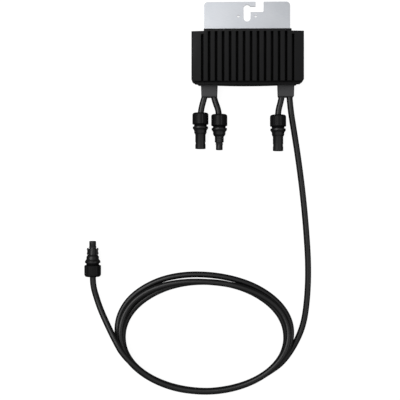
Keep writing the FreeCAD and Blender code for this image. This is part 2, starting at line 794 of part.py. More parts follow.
def latch(side):
    """A sprung finger beside the collar, hinged at its root."""
    middle = (latch_inner + latch_outer) / 2
    half = (latch_outer - latch_inner) / 2
    w = latch_width / 2
    finger = prism(
        [(latch_inner, -w, latch_pivot), (latch_inner, -w, latch_tip - 0.2),
         (latch_outer - 0.5, -w, latch_tip), (latch_outer, -w, latch_tip - 1.6),
         (latch_outer, -w, latch_tip - 2.8), (latch_outer - 0.5, -w, latch_tip - 3.2),
         (latch_outer - 0.5, -w, latch_pivot + 3.0), (latch_outer, -w, latch_pivot + 2.0),
         (latch_outer, -w, latch_pivot)], Vector(0, latch_width, 0))
    root = rod(half, (middle, -w, latch_pivot), latch_width, Y_AXIS)
    shape = joined([finger, root])
    if side < 0:
        shape.rotate(Vector(0, 0, 0), Z_AXIS, 180)
    return shape


def placed(shape, at, towards, roll=0.0):
    """Puts a connector piece's local Z along -Y or +Y of the whole, at a cap nut's end."""
    spin = FreeCAD.Placement(Vector(0, 0, 0), FreeCAD.Rotation(Z_AXIS, roll))
    lay = FreeCAD.Placement(Vector(0, 0, 0), FreeCAD.Rotation(X_AXIS, 90))
    face = FreeCAD.Placement(Vector(at[0], at[1], lead_exit_height),
                             FreeCAD.Rotation(Z_AXIS, 0 if towards < 0 else 180))
    moved = shape.copy()
    moved.Placement = face.multiply(lay).multiply(spin).multiply(moved.Placement)
    return moved


def socket_pieces():
    return {"shell": socket_shell(), "cap_nut": cap_nut(), "clamp_ring": clamp_ring(),
            "cable_seal": cable_seal(), "contact_pin": contact_pin()}


def plug_pieces():
    return {"body": plug_body(), "cap_nut": cap_nut(), "clamp_ring": clamp_ring(),
            "cable_seal": cable_seal(), "contact_tube": contact_tube(), "o_ring": o_ring(),
            "latch_one": latch(1), "latch_two": latch(-1)}


# ---------------------------------------------------------------- coil
def oval_column(oval, height):
    """An upright oval column."""
    x, y, half_x, half_y = oval
    curve = Part.Ellipse(Vector(x, y, 0), half_x, half_y)
    return Part.Face(Part.Wire(curve.toShape())).extrude(Vector(0, 0, height))


def output_coil():
    """The turns' envelope: an oval ring under a sloping top."""
    ring = oval_column(coil_outer, coil_high_height + 5).cut(
        oval_column(coil_inner, coil_high_height + 5))
    x, y, half_x, half_y = coil_outer
    near, far = y - half_y, y + half_y
    wide = half_x + 10
    wedge = prism(
        [(x - wide, near - 1, coil_high_height), (x - wide, near + 0.25 * half_y, coil_high_height),
         (x - wide, far + 1, coil_low_height), (x - wide, far + 1, 60), (x - wide, near - 1, 60)],
        Vector(2 * wide, 0, 0))
    return ring.cut(wedge)


# ---------------------------------------------------------------- all nodes
def build():
    nodes = {}
    leads = {
        "input_socket_cable": lead(input_socket_route, "input_socket_cable"),
        "input_plug_cable": lead(input_plug_route, "input_plug_cable"),
        "output_socket_cable": lead(output_socket_route, "output_socket_cable"),
        "output_lead_run": lead(output_lead_route, "output_lead_run"),
        "output_tail_run": lead(output_tail_route, "output_tail_run"),
    }
    nodes.update(leads)
    nodes["output_coil"] = output_coil()
    nodes["heatsink_cover"] = heatsink_cover()
    nodes["base_tray"] = base_tray()
    nodes["case_gasket"] = case_gasket()
    nodes["mounting_bracket"] = mounting_bracket()
    nodes["bracket_rivets"] = group([rivet(x, y) for x, y in rivet_places])
    nodes["cover_screws"] = group([screw(x, y, cover_screw_head, cover_screw_length, True)
                                   for x, y in cover_screw_places])
    nodes["board_screws"] = group([screw(x, y, board_top, board_screw_length + board_thickness - 0.5,
                                         False) for x, y in board_screw_places])
    nodes["circuit_board"] = circuit_board()
    nodes["insulation_sheet"] = insulation_sheet()
    nodes["switching_transistors"] = power_chips(power_chip_centres[:4])
    nodes["bypass_diode"] = power_chips(power_chip_centres[4:])
    nodes["thermal_pads"] = thermal_pads()
    nodes["inductor_core"] = inductor_core()
    nodes["inductor_winding"] = inductor_winding()
    nodes["input_capacitors"] = input_capacitors()
    nodes["output_capacitors"] = output_capacitors()
    nodes["controller_chip"] = controller_chip()
    nodes["line_filter_choke"] = line_filter_choke()
    nodes["comms_transformer"] = comms_transformer()
    nodes["board_fuse"] = board_fuse()
    nodes["current_shunt"] = current_shunt()
    nodes["terminal_posts"] = terminal_posts()
    input_cores = inner_leads(post_places[:2])
    output_cores = inner_leads(post_places[2:])
    nodes["input_inner_leads"] = input_cores
    nodes["output_inner_leads"] = output_cores
    nodes["input_strain_relief"] = strain_relief(
        input_relief_x, [leads["input_socket_cable"], leads["input_plug_cable"], input_cores])
    nodes["output_strain_relief"] = strain_relief(
        output_relief_x, [leads["output_socket_cable"], leads["output_lead_run"], output_cores])
    sockets = socket_pieces()
    plugs = plug_pieces()
    half_lobe = 180 / nut_lobe_count
    places = [("input_socket", sockets, input_socket_at, -1, 0, half_lobe, "input_socket_cable"),
              ("output_socket", sockets, output_socket_at, -1, 0, half_lobe,
               "output_socket_cable"),
              ("input_plug", plugs, input_plug_at, -1, 90, half_lobe, "input_plug_cable"),
              ("output_plug", plugs, output_plug_at, 1, 0, 0, "output_tail_run")]
    for prefix, pieces, at, towards, roll, nut_roll, cable in places:
        for piece, shape in pieces.items():
            turn = nut_roll if piece == "cap_nut" else roll
            solid = placed(shape, at, towards, turn)
            if piece == "cable_seal":
                solid = solid.cut(leads[cable])
            nodes[f"{prefix}_{piece}"] = solid
    return nodes


os.makedirs("parts", exist_ok=True)
for name, shape in build().items():
    valid = shape.isValid() and all(s.isValid() for s in shape.Solids)
    if not valid or not shape.Solids:
        print("CHECK", name, "valid", valid, "solids", len(shape.Solids))
    shape.exportStep(f"parts/{name}.step")
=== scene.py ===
"""Solar power optimizer on its bracket, lying on its back with its leads laid out."""
import json
import math

import bmesh
import bpy
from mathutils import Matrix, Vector

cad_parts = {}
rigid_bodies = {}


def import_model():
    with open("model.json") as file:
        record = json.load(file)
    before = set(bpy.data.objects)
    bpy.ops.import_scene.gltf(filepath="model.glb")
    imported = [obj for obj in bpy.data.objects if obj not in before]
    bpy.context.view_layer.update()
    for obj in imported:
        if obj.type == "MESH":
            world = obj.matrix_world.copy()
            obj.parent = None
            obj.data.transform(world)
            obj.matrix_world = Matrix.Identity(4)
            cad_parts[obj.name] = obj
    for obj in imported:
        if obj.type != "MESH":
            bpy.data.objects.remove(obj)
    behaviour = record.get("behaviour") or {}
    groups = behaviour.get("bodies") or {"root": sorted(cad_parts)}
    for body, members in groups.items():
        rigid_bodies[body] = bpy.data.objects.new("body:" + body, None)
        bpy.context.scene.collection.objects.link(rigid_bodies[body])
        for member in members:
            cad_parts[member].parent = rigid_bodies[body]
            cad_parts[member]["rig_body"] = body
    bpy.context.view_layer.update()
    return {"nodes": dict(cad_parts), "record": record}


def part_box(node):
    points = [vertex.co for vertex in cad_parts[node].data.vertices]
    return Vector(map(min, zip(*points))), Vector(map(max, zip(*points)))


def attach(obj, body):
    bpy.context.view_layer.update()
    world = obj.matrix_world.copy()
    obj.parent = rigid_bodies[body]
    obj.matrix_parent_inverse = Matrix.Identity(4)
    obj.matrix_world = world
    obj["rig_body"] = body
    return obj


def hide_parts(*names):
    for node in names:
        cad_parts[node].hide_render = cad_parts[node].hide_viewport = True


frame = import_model()
nodes = frame["nodes"]
MM = 0.001

# ---------------------------------------------------------------- camera
CAMERA_TILT = 1.1917    # degrees off straight down, towards the left
camera_data = bpy.data.cameras.new("camera")
camera_data.lens = 66.825
camera_data.sensor_width = 36
camera_data.shift_x = -0.04
camera_data.clip_end = 10
camera = bpy.data.objects.new("camera", camera_data)
camera.location = (-0.024, -0.216, 1.145)
camera.rotation_euler = (0, math.radians(CAMERA_TILT), 0)
bpy.context.scene.collection.objects.link(camera)
bpy.context.scene.camera = camera
bpy.context.scene.view_settings.view_transform = "Standard"


# ---------------------------------------------------------------- materials
def linear(hex_colour):
    """An sRGB hex value as a linear RGBA colour."""
    channels = [int(hex_colour[i:i + 2], 16) / 255 for i in (1, 3, 5)]
    return [c / 12.92 if c <= 0.04045 else ((c + 0.055) / 1.055) ** 2.4 for c in channels] + [1]


def per_mm(size):
    """The scale at which a pattern on metre coordinates repeats about every size millimetres."""
    return 1 / (size * MM)


def node(tree, kind, links=None, **settings):
    """Adds a node; settings are its properties or inputs by name, links are its inputs' sources."""
    made = tree.nodes.new(kind)
    for name, value in settings.items():
        if hasattr(made, name):
            setattr(made, name, value)
        else:
            made.inputs[name.replace("_", " ")].default_value = value
    for name, source in (links or {}).items():
        tree.links.new(source, made.inputs[name])
    return made


def blank(name):
    """A material with nothing in it but its output and shader."""
    made = bpy.data.materials.new(name)
    made.use_nodes = True
    tree = made.node_tree
    tree.nodes.clear()
    shader = node(tree, "ShaderNodeBsdfPrincipled")
    node(tree, "ShaderNodeOutputMaterial", {"Surface": shader.outputs[0]})
    return made, tree, shader


NOISE_LOW, NOISE_HIGH = 0.35, 0.65    # the band that most of a noise pattern's values lie in


def surface(name, dark, light, rough, grain, relief, metallic=0.0, level=0.5, smear=(1, 1, 1),
            blotch=25.0, coat=0.0):
    """A finish from dark to light and from rough[0] to rough[1]: a grain of that size and depth
    in mm, stretched by smear, over broader uneven patches of blotch mm."""
    made, tree, shader = blank(name)
    place = node(tree, "ShaderNodeTexCoord")
    drawn = node(tree, "ShaderNodeMapping", {"Vector": place.outputs["Object"]})
    drawn.inputs["Scale"].default_value = smear
    fine = node(tree, "ShaderNodeTexNoise", {"Vector": drawn.outputs[0]}, Scale=per_mm(grain),
                Detail=3.0, Roughness=0.6)
    broad = node(tree, "ShaderNodeTexNoise", {"Vector": place.outputs["Object"]},
                 Scale=per_mm(blotch), Detail=2.0)
    both = node(tree, "ShaderNodeMath", {0: fine.outputs[0], 1: broad.outputs[0]},
                operation="ADD")
    tone = node(tree, "ShaderNodeValToRGB")
    half = node(tree, "ShaderNodeMath", {0: both.outputs[0]}, operation="MULTIPLY")
    half.inputs[1].default_value = 0.5
    for stop, position, colour in zip(tone.color_ramp.elements, (NOISE_LOW, NOISE_HIGH),
                                      (dark, light)):
        stop.position = position
        stop.color = linear(colour)
    tree.links.new(half.outputs[0], tone.inputs[0])
    tree.links.new(tone.outputs[0], shader.inputs["Base Color"])
    spread = node(tree, "ShaderNodeMapRange", {"Value": half.outputs[0]}, From_Min=NOISE_LOW,
                  From_Max=NOISE_HIGH, To_Min=rough[0], To_Max=rough[1])
    tree.links.new(spread.outputs[0], shader.inputs["Roughness"])
    bump = node(tree, "ShaderNodeBump", {"Height": fine.outputs[0]}, Strength=0.6)
    bump.inputs["Distance"].default_value = relief * MM
    tree.links.new(bump.outputs[0], shader.inputs["Normal"])
    shader.inputs["Metallic"].default_value = metallic
    shader.inputs["Specular IOR Level"].default_value = level
    shader.inputs["Coat Weight"].default_value = coat
    return made


# Die-cast aluminium under matt black powder coat: even, deep black with a fine orange-peel skin.
powder_coat = surface("powder_coated_die_cast", "#09090a", "#0f0f10", (0.5, 0.62), 1.2, 0.06,
                      level=0.16)
# Rolled stainless sheet: pale satin metal, faint drawn lines along its length.
sheet_steel = surface("satin_stainless_sheet", "#adb0b5", "#bcbec2", (0.36, 0.5), 0.5, 0.004,
                      metallic=1.0, smear=(0.06, 1, 1), blotch=60)
# Moulded thermoplastic elastomer: charcoal, spark-eroded mould texture, no gloss.
elastomer = surface("moulded_elastomer", "#333334", "#3c3c3d", (0.6, 0.72), 0.5, 0.04, level=0.3)
# Cross-linked polyolefin cable jacket: black with a soft line of sheen along it.
jacket = surface("extruded_cable_jacket", "#090909", "#0e0e0f", (0.3, 0.4), 0.9, 0.012,
                 level=0.3)
# Glass-filled polyamide: black, moulded, slight satin on its edges.
polyamide = surface("moulded_polyamide_black", "#070708", "#0e0e0f", (0.34, 0.46), 0.6, 0.02,
                    level=0.3)
# The same resin with the fine texture of a hand grip: darker, duller.
polyamide_grip = surface("textured_polyamide_black", "#050506", "#0a0a0b", (0.4, 0.52), 0.5,
                         0.04, level=0.15)
# The same resin made darker and matt: painted shade for the necks between nut and collar, where the
# nut's shadow falls.
polyamide_painted_neck_shade = surface("polyamide_black_painted_neck_shade", "#030304", "#070708", (0.75, 0.85),
                         0.5, 0.04, level=0.08)
# The same resin in natural grey.
polyamide_grey = surface("moulded_polyamide_grey", "#7c7d7f", "#898a8c", (0.45, 0.55), 0.6, 0.02)
# Silicone rubber: dark, soft and dull.
silicone = surface("moulded_silicone", "#262628", "#2f2f31", (0.65, 0.78), 0.8, 0.02, level=0.3)
# Foamed gasket cord: black and porous.
foam_gasket = surface("foamed_gasket", "#101011", "#1b1b1c", (0.8, 0.9), 0.4, 0.08, level=0.2)
# Tin over copper alloy: pale bright metal with slight turning marks.
tin_plate = surface("tin_plated_copper", "#cfccc4", "#dedbd4", (0.2, 0.32), 0.3, 0.004,
                    metallic=1.0, smear=(1, 6, 1))
# Zinc plate over steel: bluish, lightly clouded.
zinc_plate = surface("zinc_plated_steel", "#a9adb3", "#c3c7cc", (0.25, 0.42), 1.0, 0.006,
                     metallic=1.0)
# Bare aluminium rivets, pressed smooth.
rivet_alloy = surface("pressed_aluminium", "#c8c9cb", "#d8d9da", (0.28, 0.4), 0.8, 0.006,
                      metallic=1.0)
# Free-cutting brass, turned and drilled.
turned_brass = surface("turned_brass", "#b99a4e", "#ccb061", (0.22, 0.34), 0.3, 0.005,
                       metallic=1.0)
# Enamelled copper wire: warm, glossy under its varnish.
magnet_wire = surface("enamelled_copper_wire", "#8f3f1d", "#b0562a", (0.2, 0.3), 0.6, 0.01,
                      metallic=0.6, coat=0.6)
# Solder mask over glass-epoxy board: green and glossy, with the weave just showing.
solder_mask = surface("solder_mask_on_glass_epoxy", "#0c3b20", "#14512d", (0.3, 0.42), 1.6, 0.02,
                      coat=0.3)
# Polyester film: amber and smooth.
polyester_film = surface("polyester_film", "#a5803a", "#b48f48", (0.2, 0.3), 3.0, 0.004)
# Moulded epoxy of chip packages: black and dull.
moulded_epoxy = surface("moulded_epoxy_package", "#141415", "#1e1e1f", (0.55, 0.68), 0.3, 0.015)
# Filled silicone pad: grey-blue, soft, finely granular.
thermal_pad = surface("filled_silicone_pad", "#6f7c8c", "#8593a2", (0.75, 0.85), 0.35, 0.05)
# Sintered ferrite: dark grey, dense and slightly sparkling.
ferrite = surface("sintered_ferrite", "#232427", "#313236", (0.5, 0.66), 0.3, 0.02)
# Boxed film capacitor: yellow moulded case.
capacitor_box = surface("moulded_capacitor_case", "#b39220", "#c9a72f", (0.32, 0.42), 0.8, 0.015)
# Shrunk sleeve on a capacitor can: dark blue and glossy.
can_sleeve = surface("shrunk_pvc_sleeve", "#141b38", "#1d2748", (0.22, 0.32), 2.0, 0.01, coat=0.3)
# Epoxy-coated ring core with wire: green, thick and glossy.
core_coating = surface("epoxy_coated_core", "#144a2a", "#1d6239", (0.25, 0.35), 0.9, 0.03, coat=0.4)
# Ceramic fuse tube: off-white, faintly glazed.
fuse_ceramic = surface("glazed_ceramic", "#cfccc2", "#dcd9cf", (0.25, 0.35), 0.8, 0.01, coat=0.3)

by_slot = {
    "cover_black": powder_coat, "tray_black": powder_coat, "gasket_rubber": foam_gasket,
    "bracket_metal": sheet_steel, "rivet_metal": rivet_alloy, "screw_steel": zinc_plate,
    "relief_black": elastomer, "cable_jacket": jacket, "board_green": solder_mask,
    "clear_film": polyester_film, "chip_black": moulded_epoxy, "pad_grey": thermal_pad,
    "ferrite_grey": ferrite, "winding_copper": magnet_wire, "film_capacitor": capacitor_box,
    "can_capacitor": can_sleeve, "choke_green": core_coating, "fuse_glass": fuse_ceramic,
    "post_brass": turned_brass, "connector_black": polyamide, "contact_tin": tin_plate,
    "clamp_grey": polyamide_grey, "seal_rubber": silicone,
}
slot_of = {s["node"]: s["material_slot"] for s in frame["record"]["subparts"]}
for name, obj in nodes.items():
    obj.data.materials.clear()
    obj.data.materials.append(by_slot[slot_of[name]])

# ---------------------------------------------------------------- leads, points in millimetres
LEAD = 9.3              # diameter
SEAT = LEAD / 2         # height of a lead's middle where it lies on the floor
EXIT_Z = 13.0           # height of the exits and of the connectors' middles
RELIEF_TIP = -59.7      # front faces of the two strain-relief blocks
input_socket_route = [
    (-62.6, -50.3, EXIT_Z), (-67.0, -65.4, EXIT_Z), (-70.4, -78.4, EXIT_Z),
    (-71.3, -92.0, EXIT_Z), (-71.3, -105.1, EXIT_Z)]
input_plug_route = [
    (-52.8, -50.3, EXIT_Z), (-49.1, -65.8, EXIT_Z), (-43.9, -78.6, EXIT_Z),
    (-42.6, -93.4, EXIT_Z), (-42.55, -107.4, EXIT_Z)]
output_socket_route = [
    (53.7, -50.3, EXIT_Z), (51.4, -65.5, EXIT_Z), (47.3, -79.0, EXIT_Z),
    (46.7, -94.0, EXIT_Z), (46.9, -108.5, EXIT_Z)]
output_lead_route = [
    (63.6, -50.3, 13.0), (65.0, -68.0, 12.7), (67.2, -86.0, 11.3), (71.9, -113.0, 8.6),
    (78.2, -152.0, 5.9), (85.2, -205.0, 4.8), (90.6, -262.0, 4.7), (94.0, -318.0, SEAT),
    (92.3, -367.0, 4.7), (86.4, -408.5, SEAT), (71.8, -440.5, 4.7), (54.0, -465.5, SEAT)]
# Three clockwise turns, 24 points each: the first the inner lane, the second the outer lane, the
# third between and on top of them; all lie on each other along the near side.
coil_route = [
    (34.2, -479.4, SEAT), (8.4, -495.4, SEAT), (-23.0, -506.0, SEAT), (-57.5, -510.0, SEAT),
    (-92.3, -507.9, SEAT), (-125.1, -500.1, SEAT), (-153.9, -486.8, SEAT), (-176.6, -468.4, SEAT),
    (-189.8, -445.4, SEAT), (-192.2, -421.1, SEAT), (-185.5, -398.5, SEAT), (-170.8, -378.6, SEAT),
    (-149.1, -362.2, SEAT), (-121.9, -349.7, SEAT), (-90.6, -342.5, SEAT), (-57.5, -341.3, SEAT),
    (-25.0, -345.5, SEAT), (4.4, -355.4, SEAT), (28.4, -369.6, SEAT), (45.8, -385.9, SEAT),
    (56.0, -403.1, SEAT), (60.2, -420.2, SEAT), (59.7, -438.7, 4.7), (51.3, -458.2, 10.2),
    (33.5, -476.9, 13.7), (7.9, -492.6, 13.7), (-23.2, -502.8, 13.7), (-57.2, -507.6, 13.9),
    (-92.0, -507.0, 14.1), (-124.8, -499.1, 14.0), (-153.5, -485.5, 14.0), (-176.4, -467.2, 14.0),
    (-191.9, -444.9, 14.0), (-199.4, -419.7, 12.7), (-197.0, -393.7, 6.6), (-182.5, -368.9, SEAT),
    (-157.8, -349.6, SEAT), (-127.3, -336.2, SEAT), (-92.9, -330.2, SEAT), (-57.5, -330.6, 4.7),
    (-23.2, -336.0, 5.5), (8.0, -346.3, 5.1), (34.1, -361.3, 4.7), (53.5, -379.4, 4.8),
    (64.7, -399.0, 8.0), (67.8, -418.8, 12.0), (63.6, -438.5, 15.0), (51.8, -457.0, 21.0),
    (33.2, -475.1, 23.0), (7.9, -490.8, 23.0), (-23.0, -501.5, 23.1), (-56.9, -506.2, 23.2),
    (-91.4, -504.3, 23.2), (-123.8, -496.2, 23.0), (-152.2, -482.9, 23.0), (-174.7, -464.8, 23.0),
    (-188.9, -442.4, 22.8), (-193.9, -418.1, 21.3), (-190.0, -394.4, 15.4), (-176.2, -372.4, 11.4),
    (-152.6, -355.1, 11.7), (-122.9, -344.4, 13.2), (-90.3, -340.1, 13.9), (-57.2, -340.6, 14.1),
    (-25.0, -344.5, 14.0), (4.7, -353.0, 13.9), (29.8, -365.7, 13.5), (48.8, -381.7, 13.4),
    (59.4, -399.4, 17.0), (63.0, -417.2, 21.0), (60.5, -435.6, 25.2), (50.6, -454.3, 30.8),
    (32.7, -472.8, 32.1), (7.5, -488.3, 32.1), (-23.1, -498.7, 32.1), (-56.7, -503.2, 32.2),
    (-90.8, -501.7, 32.2), (-122.9, -493.9, 32.2), (-151.1, -480.7, 32.5)]
output_tail_route = [
    (-185.5, -451.0, 33.4), (-200.0, -426.9, 29.2), (-213.0, -403.8, 21.8),
    (-223.8, -382.5, 16.6), (-230.8, -363.7, 13.8), (-235.4, -347.8, 13.1),
    (-236.3, -330.0, 13.0), (-236.3, -311.3, 13.0)]


def lead(name, route):
    """A round cable on a smooth curve through the route."""
    curve = bpy.data.curves.new(name, "CURVE")
    curve.dimensions = "3D"
    curve.resolution_u = 10
    curve.bevel_depth = SEAT * MM
    curve.bevel_resolution = 6
    curve.use_fill_caps = True
    spline = curve.splines.new("NURBS")
    spline.points.add(len(route) - 1)
    for point, (x, y, z) in zip(spline.points, route):
        point.co = (x * MM, y * MM, z * MM, 1)
    spline.order_u = 3
    spline.use_endpoint_u = True
    curve.materials.append(jacket)
    obj = bpy.data.objects.new(name, curve)
    bpy.context.scene.collection.objects.link(obj)
    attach(obj, "optimizer")
    return obj


# Rear end of each connector's nut (x, y), the side of it the mouth is on (along Y), and the nut's
# turn in degrees.
nut_places = {
    "input_socket": (-71.3, -83.1, -1, 22.5), "input_plug": (-42.55, -85.4, -1, 22.5),
    "output_socket": (46.9, -86.5, -1, 22.5), "output_plug": (-236.3, -333.3, 1, 0.0),
}
# Piece, its points, the solids it stands for, its connector, where it leaves and its length in m.
leads = [
    ("input_socket_lead", input_socket_route, ["input_socket_cable"], "input_socket",
     (-65.2, RELIEF_TIP, EXIT_Z), 0.0562),
    ("input_plug_lead", input_plug_route, ["input_plug_cable"], "input_plug",
     (-50.6, RELIEF_TIP, EXIT_Z), 0.0585),
    ("output_socket_lead", output_socket_route, ["output_socket_cable"], "output_socket",
     (52.3, RELIEF_TIP, EXIT_Z), 0.0589),
    ("output_long_lead", output_lead_route + coil_route + output_tail_route,
     ["output_lead_run", "output_coil", "output_tail_run"], "output_plug",
     (64.4, RELIEF_TIP, 12.9), 2.88),
]
for name, route, solids, connector, leaves, length in leads:
    piece = lead(name, route)
    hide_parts(*solids)


# ---------------------------------------------------------------- refined copies of cast pieces
MERGE_DISTANCE = 1e-6
FLAT_ANGLE = 0.5        # degrees below which neighbouring triangles make one face


def refined(source, name, radius, angle=30.0, smooth=True):
    """A copy of a CAD piece with its triangles merged and a small radius on every edge that turns
    by more than that angle."""
    mesh = nodes[source].data.copy()
    mesh.name = name
    work = bmesh.new()
    work.from_mesh(mesh)
    bmesh.ops.remove_doubles(work, verts=work.verts, dist=MERGE_DISTANCE)
    bmesh.ops.dissolve_limit(work, angle_limit=math.radians(FLAT_ANGLE), verts=work.verts,
                             edges=work.edges)
    for face in work.faces:
        face.smooth = smooth
    work.to_mesh(mesh)
    work.free()
    obj = bpy.data.objects.new(name, mesh)
    bpy.context.scene.collection.objects.link(obj)
    bevel = obj.modifiers.new("edge_radius", "BEVEL")
    bevel.width = radius * MM
    bevel.segments = 2
    bevel.limit_method = "ANGLE"
    bevel.angle_limit = math.radians(angle)
    bevel.harden_normals = smooth
    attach(obj, nodes[source]["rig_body"])
    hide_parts(source)
    return obj


refined("heatsink_cover", "finned_cover", 0.35)
refined("mounting_bracket", "bracket_plate", 0.25, smooth=False)
refined("input_strain_relief", "input_relief_block", 0.4)
refined("output_strain_relief", "output_relief_block", 0.4)
refined("base_tray", "cast_tray", 0.3, smooth=False)

SHADED_NECK_START = 17.0       # the neck between nut and collar, darkened as painted shade, measured from the nut's rear end
SHADED_NECK_END = 21.3
for connector, shape in (("input_socket", "shell"), ("output_socket", "shell"),
                         ("input_plug", "body"), ("output_plug", "body")):
    housing = refined(connector + "_" + shape, connector + "_housing", 0.2, angle=35.0)
    # The neck's faces take the darker resin: painted shade where the neck lies in shadow.
    housing.data.materials.append(polyamide_painted_neck_shade)
    rear = nut_places[connector][1]
    for face in housing.data.polygons:
        if SHADED_NECK_START < abs(face.center.y / MM - rear) < SHADED_NECK_END:
            face.material_index = 1


# ---------------------------------------------------------------- repeated features, by nodes
SHARP_ANGLE = 32        # degrees at which an edge stays sharp in the shading
TIP_SLIMNESS = 0.45     # a grip lobe's end against the lobe itself
SOCKET_KINDS = {"Int": "NodeSocketInt", "Float": "NodeSocketFloat", "Vector": "NodeSocketVector",
                "Material": "NodeSocketMaterial"}


def geometry_tree(name, wanted):
    """An empty geometry tree with named inputs, given as {name: kind}; also its input node."""
    tree = bpy.data.node_groups.new(name, "GeometryNodeTree")
    tree.interface.new_socket("Geometry", in_out="INPUT", socket_type="NodeSocketGeometry")
    for label, kind in wanted.items():
        tree.interface.new_socket(label, in_out="INPUT", socket_type=SOCKET_KINDS[kind])
    tree.interface.new_socket("Geometry", in_out="OUTPUT", socket_type="NodeSocketGeometry")
    return tree, node(tree, "NodeGroupInput").outputs


def finished(tree, geometry, given):
    """The tree's tail: real geometry, smooth but for its sharp edges, with its material on."""
    real = node(tree, "GeometryNodeRealizeInstances", {"Geometry": geometry})
    soft = node(tree, "GeometryNodeSetShadeSmooth", {"Geometry": real.outputs[0]})
    angle = node(tree, "GeometryNodeInputMeshEdgeAngle")
    steep = node(tree, "FunctionNodeCompare", {0: angle.outputs[0]}, operation="GREATER_THAN")
    steep.inputs[1].default_value = math.radians(SHARP_ANGLE)
    sharp = node(tree, "GeometryNodeSetShadeSmooth",
                 {"Geometry": soft.outputs[0], "Selection": steep.outputs[0]}, domain="EDGE")
    sharp.inputs["Shade Smooth"].default_value = False
    coated = node(tree, "GeometryNodeSetMaterial",
                  {"Geometry": sharp.outputs[0], "Material": given["Material"]})
    node(tree, "NodeGroupOutput", {"Geometry": coated.outputs[0]})
    return tree


def grip_nut_tree():
    """Adds a ring of grip lobes to a turned nut, and lays the whole where it belongs."""
    tree, given = geometry_tree("grip_nut", {
        "Lobe Count": "Int", "Lobe Circle": "Float", "Lobe Radius": "Float",
        "Lobe Start": "Float", "Lobe Length": "Float", "Phase": "Vector",
        "Turn": "Vector", "Position": "Vector", "Material": "Material"})
    ring = node(tree, "GeometryNodeMeshCircle",
                {"Vertices": given["Lobe Count"], "Radius": given["Lobe Circle"]})
    lobe = node(tree, "GeometryNodeMeshCylinder",
                {"Radius": given["Lobe Radius"], "Depth": given["Lobe Length"]}, Vertices=28)
    tip = node(tree, "GeometryNodeMeshCone",
               {"Radius Bottom": given["Lobe Radius"], "Depth": given["Lobe Radius"]}, Vertices=28)
    slim = node(tree, "ShaderNodeMath", {0: given["Lobe Radius"]}, operation="MULTIPLY")
    slim.inputs[1].default_value = TIP_SLIMNESS
    tree.links.new(slim.outputs[0], tip.inputs["Radius Top"])
    half = node(tree, "ShaderNodeMath", {0: given["Lobe Length"]}, operation="MULTIPLY")
    half.inputs[1].default_value = 0.5
    middle = node(tree, "ShaderNodeMath", {0: half.outputs[0], 1: given["Lobe Start"]},
                  operation="ADD")
    lift = node(tree, "ShaderNodeCombineXYZ", {"Z": middle.outputs[0]})
    start = node(tree, "ShaderNodeCombineXYZ", {"Z": given["Lobe Start"]})
    raised = node(tree, "GeometryNodeTransform",
                  {"Geometry": lobe.outputs[0], "Translation": lift.outputs[0]})
    turned_tip = node(tree, "GeometryNodeTransform",
                      {"Geometry": tip.outputs[0], "Translation": start.outputs[0]})
    turned_tip.inputs["Rotation"].default_value = (math.pi, 0, 0)
    both = node(tree, "GeometryNodeJoinGeometry")
    tree.links.new(raised.outputs[0], both.inputs[0])
    tree.links.new(turned_tip.outputs[0], both.inputs[0])
    lobes = node(tree, "GeometryNodeInstanceOnPoints",
                 {"Points": ring.outputs[0], "Instance": both.outputs[0]})
    phased = node(tree, "GeometryNodeTransform",
                  {"Geometry": lobes.outputs[0], "Rotation": given["Phase"]})
    whole = node(tree, "GeometryNodeJoinGeometry")
    tree.links.new(given["Geometry"], whole.inputs[0])
    tree.links.new(phased.outputs[0], whole.inputs[0])
    laid = node(tree, "GeometryNodeTransform",
                {"Geometry": whole.outputs[0], "Rotation": given["Turn"],
                 "Translation": given["Position"]})
    return finished(tree, laid.outputs[0], given)


def socket_screw_tree():
    """A pan-head screw with a hexagon socket at every point: head face at 0, shank along +Z."""
    tree, given = geometry_tree("socket_screws", {
        "Head Radius": "Float", "Head Height": "Float", "Shank Radius": "Float",
        "Shank Length": "Float", "Socket Radius": "Float", "Turn": "Vector",
        "Material": "Material"})
    head = node(tree, "GeometryNodeMeshCylinder",
                {"Radius": given["Head Radius"], "Depth": given["Head Height"]}, Vertices=40)
    drive = node(tree, "GeometryNodeMeshCylinder",
                 {"Radius": given["Socket Radius"], "Depth": given["Head Height"]}, Vertices=6)
    half = node(tree, "ShaderNodeMath", {0: given["Head Height"]}, operation="MULTIPLY")
    half.inputs[1].default_value = -0.5
    sunk = node(tree, "ShaderNodeCombineXYZ", {"Z": half.outputs[0]})
    recess = node(tree, "GeometryNodeTransform",
                  {"Geometry": drive.outputs[0], "Translation": sunk.outputs[0]})
    cut = node(tree, "GeometryNodeMeshBoolean", operation="DIFFERENCE")
    tree.links.new(head.outputs[0], cut.inputs[0])
    tree.links.new(recess.outputs[0], cut.inputs[1])
    seated = node(tree, "GeometryNodeTransform",
                  {"Geometry": cut.outputs[0], "Translation": sunk.outputs[0]})
    shank = node(tree, "GeometryNodeMeshCylinder",
                 {"Radius": given["Shank Radius"], "Depth": given["Shank Length"]}, Vertices=24)
    up = node(tree, "ShaderNodeMath", {0: given["Shank Length"]}, operation="MULTIPLY")
    up.inputs[1].default_value = 0.5
    along = node(tree, "ShaderNodeCombineXYZ", {"Z": up.outputs[0]})
    lifted = node(tree, "GeometryNodeTransform",
                  {"Geometry": shank.outputs[0], "Translation": along.outputs[0]})
    screw = node(tree, "GeometryNodeJoinGeometry")
    tree.links.new(seated.outputs[0], screw.inputs[0])
    tree.links.new(lifted.outputs[0], screw.inputs[0])
    copies = node(tree, "GeometryNodeInstanceOnPoints",
                  {"Points": given["Geometry"], "Instance": screw.outputs[0],
                   "Rotation": given["Turn"]})
    return finished(tree, copies.outputs[0], given)


